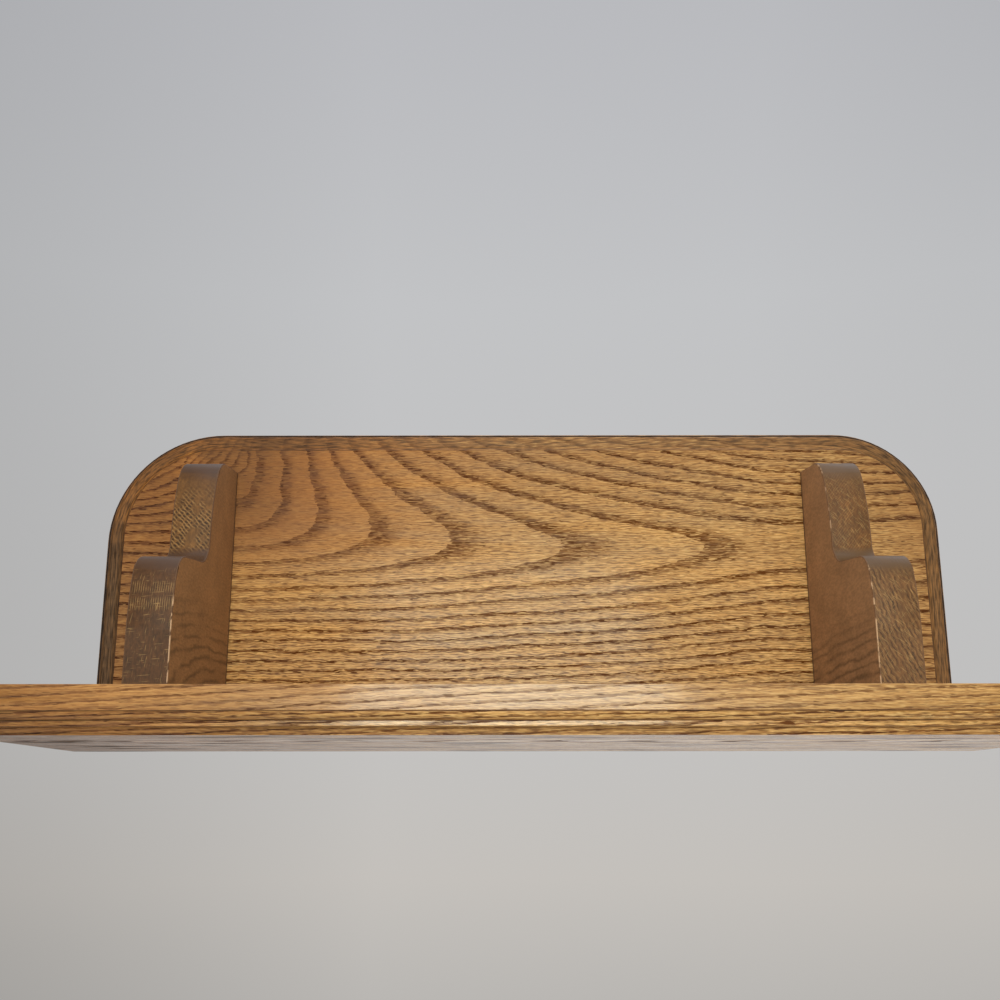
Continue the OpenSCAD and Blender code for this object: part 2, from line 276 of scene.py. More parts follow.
def heart_rings(t, x, z):
    """Rings to the right of the heart: points, with level rings below them and upright ones above.

    The count is one of three, whichever is the greatest there, with the turns between them rounded.
    """
    # Points: the count rises with the logarithm of the way to the right of the heart
    run = add(t, "Math", [x, -HEART_X])
    run = add(t, "Math", [run, 2.0], operation="MAXIMUM")
    run = add(t, "Math", [run, math.e], operation="LOGARITHM")
    tip = add(t, "Math", [run, 2.2, -6.52], operation="MULTIPLY_ADD")

    # Level rings: one more for each gap downwards and none upwards, with a soft start of a few rings
    bend = 4.0
    low = add(t, "Math", [z, -1 / (bend * LEVEL_GAP), -0.19], operation="MULTIPLY_ADD")
    low = add(t, "Math", [low], operation="EXPONENT")
    low = add(t, "Math", [add(t, "Math", [low, 1.0]), math.e], operation="LOGARITHM")
    low = add(t, "Math", [low, bend], operation="MULTIPLY")

    # Upright rings: they fan out above a line that falls a little to the left
    high = add(t, "Math", [x, -0.11, 27.6], operation="MULTIPLY_ADD")
    high = add(t, "Math", [high, z], operation="ADD")
    high = add(t, "Math", [high, 0.0], operation="MAXIMUM")
    fan = add(t, "Math", [x, -UPRIGHT_X], operation="ADD")
    fan = add(t, "Math", [fan, 0.01], operation="MAXIMUM")
    fan = add(t, "Math", [fan, 0.758], operation="POWER")
    high = add(t, "Math", [high, fan], operation="MULTIPLY")
    high = add(t, "Math", [high, 0.0029], operation="MULTIPLY")

    # Near the heart the rings turn in tight corners, and in long soft points to the right of it
    sharp = add(t, "MapRange", {"Value": x, "From Min": -78.0, "From Max": 122.0,
                                "To Min": 3.0, "To Max": 1.67})
    total = 0.0
    for part in (tip, low, high):
        part = add(t, "Math", [part, 0.01], operation="MAXIMUM")
        part = add(t, "Math", [part, sharp], operation="POWER")
        total = add(t, "Math", [total, part], operation="ADD")
    root = add(t, "Math", [1.0, sharp], operation="DIVIDE")
    return add(t, "Math", [total, root], operation="POWER")


def left_end_rings(t, x, z):
    """Level rings of the left end, which rise a little towards the heart at the top."""
    rise = add(t, "MapRange", {"Value": z, "From Min": 5.0, "From Max": 35.0, "To Max": 0.55})
    lift = add(t, "Math", [rise, add(t, "Math", [x, 185.0])], operation="MULTIPLY")
    level = add(t, "Math", [lift, z], operation="SUBTRACT")
    return add(t, "Math", [level, 1 / LEFT_END_GAP, 0.48], operation="MULTIPLY_ADD")


def back_board_rings(t, mm):
    """Growth rings of the back board, as a count that rises by one from ring to ring.

    The board is cut flat near the heart. Its rings make long points to the right, lie level about
    5 mm apart below them and stand upright above them at the left. At the left end they lie level
    again.
    """
    place = wandered(t, mm, (((42, 30, 16), (4, 0, 1.8)), ((15, 9, 7), (3.0, 0, 1.1)),
                             ((3.5, 2, 0.8), (2.2, 0, 0.4))))
    x, _, z = add(t, "SeparateXYZ", [place]).node.outputs
    # The left end begins at a line that slants a little
    turn = add(t, "MapRange", {"Value": z, "From Min": 28.0, "From Max": 40.0,
                               "To Min": -152.0, "To Max": -138.0})
    left = add(t, "MapRange", {"Value": x, "From Min": turn, "From Max": -178.0})
    return add(t, "Mix", [left, heart_rings(t, x, z), left_end_rings(t, x, z)])


def shelf_board_rings(t, mm):
    """Growth rings of the shelf board: arcs round a heart that runs far below it and slants a little."""
    place = wandered(t, mm, (((90, 25, 25), (0, 2.2, 2.2)), ((20, 5, 5), (0, 0.5, 0.5)),
                             ((3.5, 0.8, 0.8), (0, 0.3, 0.3))))
    x, y, z = add(t, "SeparateXYZ", [place]).node.outputs
    heart_z = add(t, "Math", [x, 0.06, SHELF_HEART_Z], operation="MULTIPLY_ADD")
    deep = add(t, "Math", [z, heart_z], operation="SUBTRACT")
    across = add(t, "Math", [y, -SHELF_HEART_Y], operation="ADD")
    out = add(t, "VectorMath", [add(t, "CombineXYZ", [0.0, across, deep])], operation="LENGTH")
    return add(t, "Math", [out.node.outputs["Value"], 1 / SHELF_GAP], operation="MULTIPLY")


def rim_streaks(t, mm):
    """Streaks that follow the back board's moulding up its ends, round its corners and along its top."""
    x, _, z = add(t, "SeparateXYZ", [mm]).node.outputs
    beside = add(t, "Math", [x], operation="ABSOLUTE")
    # How far a place lies beyond the middle of its corner's arc, outwards and upwards
    beyond = []
    for place, reach in ((beside, BACK_END_X), (z, BACK_TOP_Z)):
        left, right = (reach - radius for radius in CORNER_RADII)
        arc = add(t, "MapRange", {"Value": x, "From Min": -100.0, "From Max": 100.0,
                                  "To Min": left, "To Max": right})
        beyond.append(add(t, "Math", [place, arc], operation="SUBTRACT"))
    out = add(t, "CombineXYZ", [beyond[0], 0.0, beyond[1]])
    out = add(t, "VectorMath", [out, (0, 0, 0)], operation="MAXIMUM")
    out = add(t, "VectorMath", [out], operation="LENGTH").node.outputs["Value"]
    along = add(t, "Math", [z, beside], operation="SUBTRACT")
    return streaks(t, add(t, "CombineXYZ", [out, 0.0, along]), (0.7, 1, 8.0), 3.0)


def moulding_light(t, mm, corner):
    """The light that the stain leaves on the back board's moulding, in streaks along it, darker towards
    both ends.

    Corner is 1 in the left corner, which took less of the stain.
    """
    x = add(t, "SeparateXYZ", [mm]).node.outputs["X"]
    light = add(t, "MapRange", {"Value": rim_streaks(t, mm), "From Min": 0.38, "From Max": 0.62,
                                "To Min": 0.4, "To Max": 1.33})
    light = add(t, "Math", [light, add(t, "Mix", [corner, 1.0, 1.65])], operation="MULTIPLY")
    for start, end, change in ((0.0, -130.0, 0.7), (-130.0, -200.0, 0.84), (60.0, 200.0, 0.56)):
        light = graded(t, light, x, start, end, change)
    return light


def back_board_stain_and_shade(t, mm, count):
    """How the stain, painted shade and painted light lie on the back board, as four shares.

    They are the light it leaves, how plain the rings show, how grey and how red it is. The wood near
    the heart is darker, and towards the top left it is redder. Painted shade darkens it towards the
    top and at both ends beside the brackets, and painted light brightens it to the right. The
    moulding is darker still, with streaks along it instead of rings, and at the left it has a dull
    mauve grey that is a painted reflection. Painted shade draws thin dark lines in its corners, and
    a painted shadow makes its outer step nearly black.
    """
    x, y, z = add(t, "SeparateXYZ", [mm]).node.outputs
    # The left end has a count of its own, and is no longer near the heart
    beyond = add(t, "MapRange", {"Value": x, "From Min": -160.0, "From Max": -175.0, "To Max": 12.0})
    heart = add(t, "Math", [count, beyond], operation="ADD")
    share = add(t, "MapRange", {"Value": heart, "From Min": 0.8, "From Max": 5.5, "To Min": 0.58})
    # Painted shade darkens it towards the top and at both ends beside the brackets, and painted light
    # brightens it to the right
    for value, start, end, change in ((z, -15.0, 45.0, 0.76), (x, -160.0, -185.0, 0.62),
                                      (x, 165.0, 205.0, 0.74), (x, 20.0, 140.0, 1.13)):
        share = graded(t, share, value, start, end, change)

    # The moulding starts just behind the face
    routed = add(t, "MapRange", {"Value": y, "From Min": BACK_FACE_Y + 0.15,
                                 "From Max": BACK_FACE_Y + 0.75})
    outer_y = BACK_FACE_Y + ROUTED_DEEP
    edge = add(t, "MapRange", {"Value": y, "From Min": outer_y + 0.25, "From Max": outer_y - 0.05})
    routed = add(t, "Math", [routed, edge], operation="MULTIPLY")
    corner = add(t, "MapRange", {"Value": x, "From Min": -112.0, "From Max": -165.0})
    upper = add(t, "MapRange", {"Value": z, "From Min": -5.0, "From Max": 22.0})
    corner = add(t, "Math", [corner, upper], operation="MULTIPLY")
    light = add(t, "Mix", [routed, 1.0, moulding_light(t, mm, corner)])
    share = add(t, "Math", [share, light], operation="MULTIPLY")
    # Painted shade in thin dark lines in the corners of the moulding, and a painted shadow that makes the
    # outer step nearly black
    for behind, full, none, least in ((0.45, 0.15, 0.4, 0.6), (4.75, 0.3, 0.7, 0.6),
                                      (7.05, 0.75, 1.05, 0.06)):
        share = lined(t, share, y, BACK_FACE_Y + behind, full, none, least)

    # The moulding's streaks hide the rings, most of all at both ends
    ends = add(t, "MapRange", {"Value": add(t, "Math", [x], operation="ABSOLUTE"),
                               "From Min": 165.0, "From Max": 200.0})
    hidden = add(t, "Math", [ends, 0.4, 0.5], operation="MULTIPLY_ADD")
    hidden = add(t, "Math", [routed, hidden], operation="MULTIPLY")
    plain = add(t, "Math", [1.0, hidden], operation="SUBTRACT")
    # The rings are softer near the heart
    soft = add(t, "MapRange", {"Value": heart, "From Min": 1.0, "From Max": 11.0, "To Min": 0.68})
    plain = add(t, "Math", [plain, soft], operation="MULTIPLY")

    # Painted reflection: a grey sheen on the moulding, growing to the left, weaker in the left corner
    grey = add(t, "MapRange", {"Value": x, "From Min": -60.0, "From Max": -190.0, "To Min": 0.3})
    grey = add(t, "Math", [grey, routed], operation="MULTIPLY")
    grey = add(t, "Math", [grey, add(t, "Mix", [corner, 1.0, 0.3])], operation="MULTIPLY")
    red = add(t, "MapRange", {"Value": x, "From Min": 0.0, "From Max": -110.0})
    lift = add(t, "MapRange", {"Value": z, "From Min": -30.0, "From Max": 30.0, "To Min": 0.3})
    return share, plain, grey, add(t, "Math", [red, lift], operation="MULTIPLY")


def shelf_board_stain_and_shade(t, mm, _):
    """How stain and painted light and shade lie on the shelf board, in the same four shares.
    Its rings don't change it.

    It is redder to the left, and darker there with painted shade. Painted light brightens it a
    little to the right, and on the moulding from the middle rightwards. Painted shade draws thin dark
    lines in the corners of the moulding, and a painted shadow draws one along the rear arris. The
    underside is blotchy.
    """
    x, y, z = add(t, "SeparateXYZ", [mm]).node.outputs
    # The square half of the edge ends just above this height, and the moulding lies below it
    square_z = SHELF_UNDER_Z + ROUTED_DEEP - 0.15
    share = 1.0
    # Painted shade darkens it to the left, painted light brightens it a little to the right, and the
    # square face is a little darker
    for value, start, end, change in ((x, 60.0, -165.0, 0.85), (x, -165.0, -210.0, 0.8),
                                      (x, 50.0, 110.0, 1.06), (z, square_z, square_z + 0.4, 0.9)):
        share = graded(t, share, value, start, end, change)
    # Painted shade in thin dark lines in the corners of the moulding, and a painted shadow along the rear
    # arris
    for value, line, least in ((z, square_z, 0.45), (z, SHELF_UNDER_Z + 5.25, 0.5),
                               (z, SHELF_UNDER_Z + 0.75, 0.6), (y, -0.9, 0.4)):
        share = lined(t, share, value, line, 0.15, 0.45, least)
    # Painted light and shade on the moulding: darker at the left end and brighter from the middle
    # rightwards, where the highlight falls
    painted_mould_light = add(t, "MapRange", {"Value": x, "From Min": -200.0, "From Max": -40.0,
                                "To Min": 0.77, "To Max": 1.12})
    below = add(t, "MapRange", {"Value": z, "From Min": square_z, "From Max": square_z - 0.2})
    share = add(t, "Math", [share, add(t, "Mix", [below, 1.0, painted_mould_light])], operation="MULTIPLY")
    under = add(t, "MapRange", {"Value": z, "From Min": SHELF_UNDER_Z + 0.25,
                                "From Max": SHELF_UNDER_Z + 0.05})
    soaked = streaks(t, mm, (45, 12, 12), 3.0)
    soaked = add(t, "MapRange", {"Value": soaked, "From Min": 0.5, "From Max": 0.62,
                                 "To Min": 1.0, "To Max": 0.35})
    share = add(t, "Math", [share, add(t, "Mix", [under, 1.0, soaked])], operation="MULTIPLY")
    plain = add(t, "MapRange", {"Value": z, "From Min": square_z, "From Max": square_z + 0.4,
                                "To Min": 1.0, "To Max": 0.75})
    red = add(t, "MapRange", {"Value": x, "From Min": -20.0, "From Max": -150.0, "To Max": 0.35})
    return share, plain, 0.0, red


def grain_size(axis, length, width):
    """A pattern's size along X, Y and Z, from its length along the grain and its width across it."""
    return [length if a == axis else width for a in "xyz"]


def pore_bands(t, mm, axis, count, plain):
    """Bands of open pores: up to 1 where a growth ring starts, fading to 0 outwards."""
    part = add(t, "Math", [count], operation="FRACT")
    fade = [(place, (level, level, level, 1.0)) for place, level in BAND_FADE]
    band = add(t, "ValToRGB", [part], stops=fade)
    # Some stretches of a ring are weaker than others
    strong = streaks(t, mm, grain_size(axis, 38, 6), 2.0, (71, 3, 19))
    strong = add(t, "MapRange", {"Value": strong, "From Min": 0.38, "From Max": 0.56, "To Min": 0.82})
    band = add(t, "Math", [band, strong], operation="MULTIPLY")
    return add(t, "Math", [band, plain], operation="MULTIPLY")


def open_pores(t, mm, axis, dash, band, plain):
    """Open pores, up to 1 in each. They crowd in the bands and are few between them.

    Dash is their length and width.
    """
    edge = add(t, "Math", [band, -0.22, 0.71], operation="MULTIPLY_ADD")
    full = add(t, "Math", [edge, 0.05], operation="ADD")
    pores = streaks(t, mm, grain_size(axis, *dash), 1.5)
    pores = add(t, "MapRange", {"Value": pores, "From Min": edge, "From Max": full})
    return add(t, "Math", [pores, plain], operation="MULTIPLY")


def fibres(t, mm, axis):
    """Fibres that run along the grain: 1 in a dark hairline and 0 in a pale one."""
    across = [0.0 if a == axis else 1.0 for a in "xyz"]
    step = add(t, "VectorMath", [mm, across], operation="DOT_PRODUCT").node.outputs["Value"]
    step = add(t, "Math", [step, 2 / FIBRE_GAP], operation="MULTIPLY")
    shift = streaks(t, mm, grain_size(axis, 9.0, 1.6), 1.0)
    step = add(t, "Math", [shift, 5.0, step], operation="MULTIPLY_ADD")
    return add(t, "Math", [step, 1.0], operation="PINGPONG")


def oak_colour(t, mm, axis, tones, marks, plain, share, speckle, fineness):
    """The colour of the wood, from its bands, rays, flecks, fibres and open pores; its flecks are partly
    painted glints.

    Marks are the bands, the rays and the pores.
    """
    light, dark, pore, pale = (linear(c) for c in tones)
    band, ray, pores = marks
    colour = add(t, "Mix", [band, light, dark], data_type="RGBA")
    colour = add(t, "Mix", [ray, colour, dark], data_type="RGBA")
    # Pale flecks, partly pale wood and partly painted glints of the varnish
    fleck_and_glint = streaks(t, mm, grain_size(axis, 5.0, 0.5), 1.0, (31, 17, 53))
    fleck_and_glint = add(t, "MapRange", {"Value": fleck_and_glint, "From Min": 0.54, "From Max": 0.61, "To Max": speckle})
    fleck_and_glint = add(t, "Math", [fleck_and_glint, plain], operation="MULTIPLY")
    colour = add(t, "Mix", [fleck_and_glint, colour, pale], data_type="RGBA")
    # Deep stain and painted shade hide the fibres, and they break off here and there
    clear = add(t, "MapRange", {"Value": share, "From Min": 0.66, "From Max": 0.9, "To Min": 0.15})
    clear = add(t, "Math", [clear, plain], operation="MULTIPLY")
    fibre = fibres(t, mm, axis)
    breaks = streaks(t, mm, grain_size(axis, 4.5, 0.9), 1.0, (5, 43, 7))
    for start, end, least, most, tint in ((0.5, 0.82, 0.42, 0.56, pore), (0.4, 0.12, 0.57, 0.43, pale)):
        shown = add(t, "MapRange", {"Value": fibre, "From Min": start, "From Max": end,
                                    "To Max": fineness})
        whole = add(t, "MapRange", {"Value": breaks, "From Min": least, "From Max": most, "To Min": 0.1})
        for only in (whole, clear):
            shown = add(t, "Math", [shown, only], operation="MULTIPLY")
        colour = add(t, "Mix", [shown, colour, tint], data_type="RGBA")
    return add(t, "Mix", [pores, colour, pore], data_type="RGBA")


def varnish(t, band, pores, share, tone, roughness, coat):
    """The roughness of the wood, and how much varnish lies on it.

    Varnish sinks into the pores and leaves them dull, and so do deep stain and painted shade, most of
    all the painted shadow on the back board's outer step.
    """
    gloss = add(t, "MapRange", {"Value": tone, "From Min": 0.3, "From Max": 0.7,
                                "To Min": roughness - 0.1, "To Max": roughness + 0.14})
    gloss = add(t, "Math", [pores, 0.3, gloss], operation="MULTIPLY_ADD")
    gloss = add(t, "Math", [band, 0.15, gloss], operation="MULTIPLY_ADD")
    dull = add(t, "MapRange", {"Value": share, "From Min": 0.4, "From Max": 0.1})
    gloss = add(t, "Math", [gloss, dull], operation="MAXIMUM")
    over_pores = add(t, "Math", [pores, -0.8, 1.0], operation="MULTIPLY_ADD")
    over_bands = add(t, "Math", [band, -0.6, 1.0], operation="MULTIPLY_ADD")
    film = add(t, "Math", [over_pores, over_bands], operation="MULTIPLY")
    wet = add(t, "MapRange", {"Value": share, "From Min": 0.2, "From Max": 0.6, "To Max": coat})
    return gloss, add(t, "Math", [film, wet], operation="MULTIPLY")


def stained_oak(name, rings, axis, tones, end_tone, roughness, coat, stain=None, dash=(4.6, 0.6),
                speckle=0.45, relief=0.5, fineness=0.75, shine=0.5):
    """Oak, planed, stained honey brown and varnished.

    The eye gets golden late wood with fine dark dashes along the grain, brown bands of open pores
    that start sharply and fade outwards, pale flecks that are partly painted glints, and a soft shine
    that the pores break up. Sawn ends drink more stain and are darker.

    Rings and stain are functions for this board, and axis is the way its grain runs; stain gives the
    board's stain together with its painted light and shade. Tones are those of the late wood, the
    bands, the pores and the flecks. Real pores of oak are 0.2 to 0.3 mm wide: dash, their length and
    width, is coarser so that they show. Speckle, fineness and relief are how strong the flecks, the
    fibres and the bump are. Coat is the varnish and shine the gloss under it.
    """
    material, t = new_material(name)
    mm, normal = surface(t)
    count = rings(t, mm)
    share, plain, grey, red = stain(t, mm, count) if stain else (1.0, 1.0, 0.0, 0.0)
    band = pore_bands(t, mm, axis, count, plain)
    pores = open_pores(t, mm, axis, dash, band, plain)
    # Medullary rays, cut across, make thin dashes in the late wood
    ray = streaks(t, mm, grain_size(axis, 6.0, 0.45), 1.0, (11, 29, 47))
    ray = add(t, "MapRange", {"Value": ray, "From Min": 0.54, "From Max": 0.58, "To Max": 0.55})
    ray = add(t, "Math", [ray, plain], operation="MULTIPLY")
    colour = oak_colour(t, mm, axis, tones, (band, ray, pores), plain, share, speckle, fineness)

    # Sawn ends face along the grain
    facing = add(t, "SeparateXYZ", [normal]).node.outputs["xyz".find(axis)]
    facing = add(t, "Math", [facing], operation="ABSOLUTE")
    end = add(t, "MapRange", {"Value": facing, "From Min": 0.45, "From Max": 0.85})
    soaked = add(t, "Mix", [1.0, colour, linear(end_tone)], data_type="RGBA", blend_type="MULTIPLY")
    colour = add(t, "Mix", [end, colour, soaked], data_type="RGBA")
    # Where the stain is deep and where shade is painted, it is warmer too. Then come its grey, a painted
    # reflection, and its red places
    deep = add(t, "MapRange", {"Value": share, "From Min": 1.0, "From Max": 0.66})
    for amount, tint in ((deep, "#ffeedd"), (grey, "#d6deff"), (red, "#ffe9bc")):
        colour = add(t, "Mix", [amount, colour, linear(tint)], data_type="RGBA", blend_type="MULTIPLY")
    tone = streaks(t, mm, grain_size(axis, 70, 7), 3.0)
    bright = add(t, "MapRange", {"Value": tone, "From Min": 0.3, "From Max": 0.7,
                                 "To Min": 0.88, "To Max": 1.1})
    bright = add(t, "Math", [bright, share], operation="MULTIPLY")
    colour = add(t, "VectorMath", {"Vector": colour, "Scale": bright}, operation="SCALE")

    height = add(t, "Math", [ray, 0.5], operation="MULTIPLY")
    height = add(t, "Math", [height, pores], operation="ADD")
    bump = add(t, "Bump", {"Height": height, "Strength": relief, "Distance": 0.1 * MM}, invert=True)
    gloss, film = varnish(t, band, pores, share, tone, roughness, coat)
    shader = add(t, "BsdfPrincipled", {"Base Color": colour, "Roughness": gloss, "IOR": OAK_IOR,
                                       "Specular IOR Level": shine, "Coat Weight": film,
                                       "Coat Roughness": 0.12, "Normal": bump})
    add(t, "OutputMaterial", [shader])
    return material


def saw_lines(t, mm, reach, gap, wander):
    """Thin parallel marks of a saw: 1 on a mark and 0 midway between two, a gap apart.

    Reach is how far a place lies across the marks, and wander how far they stray.
    """
    step = add(t, "Math", [reach, 2 / gap], operation="MULTIPLY")
    step = add(t, "Math", [streaks(t, mm, (3, 3, 3)), 2 * wander, step], operation="MULTIPLY_ADD")
    return add(t, "Math", [step, 1.0], operation="PINGPONG")


def slanted(t, mm, degrees):
    """How far a place lies across lines that lean by this angle on a bracket's front."""
    lean = math.radians(degrees)
    across = (math.cos(lean), 0.0, math.sin(lean))
    return add(t, "VectorMath", [mm, across], operation="DOT_PRODUCT").node.outputs["Value"]


def scratches(t, mm, degrees, least):
    """Thin short scratches that lean by this angle on a bracket's front: 1 on a scratch.

    Least is the noise level above which a scratch shows: a higher one leaves fewer.
    """
    along = slanted(t, mm, degrees)
    across = slanted(t, mm, degrees + 90)
    noise = streaks(t, add(t, "CombineXYZ", [along, across, 0.0]), (6, 0.45, 1), 1.0)
    return add(t, "MapRange", {"Value": noise, "From Min": least, "From Max": least + 0.06})


def fronts(t, mm):
    """Two shares: 1 on a bracket's upper front, and 1 on its lower front."""
    y = add(t, "SeparateXYZ", [mm]).node.outputs["Y"]
    upper = add(t, "MapRange", {"Value": y, "From Min": STEP_Y - 2, "From Max": STEP_Y + 2})
    return upper, add(t, "Math", [1.0, upper], operation="SUBTRACT")


def left_saw_marks(t, mm):
    """Dark and pale marks on the left bracket's fronts.

    Above they make a net that ends below the top, and below two rows of short upright ticks with
    scratches all over.
    """
    z = add(t, "SeparateXYZ", [mm]).node.outputs["Z"]
    upper, lower = fronts(t, mm)
    patch = add(t, "MapRange", {"Value": z, "From Min": 18.0, "From Max": 2.0})
    broken = add(t, "MapRange", {"Value": streaks(t, mm, (6, 9, 6)), "From Min": 0.36, "From Max": 0.5})
    net = add(t, "Math", [upper, patch], operation="MULTIPLY")
    net = add(t, "Math", [net, broken], operation="MULTIPLY")
    rows = saw_lines(t, mm, slanted(t, mm, 45), 1.6, 1.2)
    cross = saw_lines(t, mm, slanted(t, mm, -42), 2.4, 1.6)
    dents = add(t, "MapRange", {"Value": rows, "From Min": 0.35, "From Max": 0.8})
    kept = add(t, "MapRange", {"Value": cross, "From Min": 0.75, "From Max": 0.45})
    dents = add(t, "Math", [dents, kept], operation="MULTIPLY")
    ridges = add(t, "MapRange", {"Value": rows, "From Min": 0.4, "From Max": 0.1})
    dark = add(t, "Math", [dents, net], operation="MULTIPLY")
    pale = add(t, "Math", [ridges, net], operation="MULTIPLY")

    ticks = saw_lines(t, mm, slanted(t, mm, 0), 0.95, 0.5)
    ticks = add(t, "MapRange", {"Value": ticks, "From Min": 0.6, "From Max": 0.9})
    for row, half in ((-45.3, 3.0), (-52.6, 3.2)):
        off = add(t, "Math", [add(t, "Math", [z, row], operation="SUBTRACT")], operation="ABSOLUTE")
        inside = add(t, "MapRange", {"Value": off, "From Min": half, "From Max": half - 1.5})
        for only in (ticks, lower, broken):
            inside = add(t, "Math", [inside, only], operation="MULTIPLY")
        pale = add(t, "Math", [pale, inside], operation="MAXIMUM")
    for degrees in (4, 82):
        nick = add(t, "Math", [scratches(t, mm, degrees, 0.66), lower], operation="MULTIPLY")
        pale = add(t, "Math", [pale, nick], operation="MAXIMUM")
    worn = add(t, "Math", [scratches(t, mm, 88, 0.58), lower], operation="MULTIPLY")
    worn = add(t, "Math", [worn, 0.35], operation="MULTIPLY")
    return add(t, "Math", [dark, worn], operation="MAXIMUM"), pale


def right_saw_marks(t, mm):
    """Dark and pale marks on the right bracket's fronts: a fine slanted hatch above, long arcs below."""
    upper, lower = fronts(t, mm)
    broken = add(t, "MapRange", {"Value": streaks(t, mm, (5, 9, 12)), "From Min": 0.34, "From Max": 0.56})
    hatch = saw_lines(t, mm, slanted(t, mm, -38), 1.05, 0.5)
    for only in (upper, broken):
        hatch = add(t, "Math", [hatch, only], operation="MULTIPLY")
    # The arcs run round a point far to the right, as the saw's teeth did
    flat = add(t, "VectorMath", [mm, (1, 0, 1)], operation="MULTIPLY")
    reach = add(t, "VectorMath", [flat, (300, 0, -5)], operation="DISTANCE").node.outputs["Value"]
    arcs = saw_lines(t, mm, reach, 1.9, 1.5)
    worn = add(t, "Math", [lower, broken], operation="MULTIPLY")
    dark = add(t, "MapRange", {"Value": arcs, "From Min": 0.6, "From Max": 0.95, "To Max": 0.9})
    dark = add(t, "Math", [dark, worn], operation="MULTIPLY")
    pale = add(t, "MapRange", {"Value": arcs, "From Min": 0.25, "From Max": 0.0, "To Max": 0.7})
    pale = add(t, "Math", [pale, worn], operation="MULTIPLY")
    nick = add(t, "MapRange", {"Value": hatch, "From Min": 0.8, "From Max": 1.0, "To Max": 0.5})
    pale = add(t, "Math", [pale, nick], operation="MAXIMUM")
    for degrees, least in ((-38, 0.64), (48, 0.66), (-62, 0.62)):
        pale = add(t, "Math", [pale, scratches(t, mm, degrees, least)], operation="MAXIMUM")
    dent = add(t, "MapRange", {"Value": hatch, "From Min": 0.5, "From Max": 0.1, "To Max": 0.35})
    dent = add(t, "Math", [dent, upper], operation="MULTIPLY")
    return add(t, "Math", [dark, dent], operation="MAXIMUM"), pale


def foot_figure(t, mm, heart, top_z):
    """A faint wavy figure at the foot of a bracket's sides: the light that it leaves.

    Its waves run round the heart, and it fades out up to a height.
    """
    # The waves are much longer than they are high
    flat = add(t, "VectorMath", [mm, (0, 0.27, 1)], operation="MULTIPLY")
    bent = wandered(t, flat, (((9, 9, 9), (0, 3.2, 3.2)),))
    reach = add(t, "VectorMath", [bent, heart], operation="DISTANCE").node.outputs["Value"]
    wave = saw_lines(t, mm, reach, 4.8, 0.2)
    wave = add(t, "MapRange", {"Value": wave, "From Min": 0.45, "From Max": 0.95})
    faint = add(t, "MapRange", {"Value": streaks(t, mm, (20, 25, 9)), "From Min": 0.3, "From Max": 0.5})
    wave = add(t, "Math", [wave, faint], operation="MULTIPLY")
    z = add(t, "SeparateXYZ", [mm]).node.outputs["Z"]
    near = add(t, "MapRange", {"Value": z, "From Min": top_z, "From Max": top_z - 22.0})
    wave = add(t, "Math", [wave, near], operation="MULTIPLY")
    return add(t, "Math", [wave, -0.45, 1.0], operation="MULTIPLY_ADD")


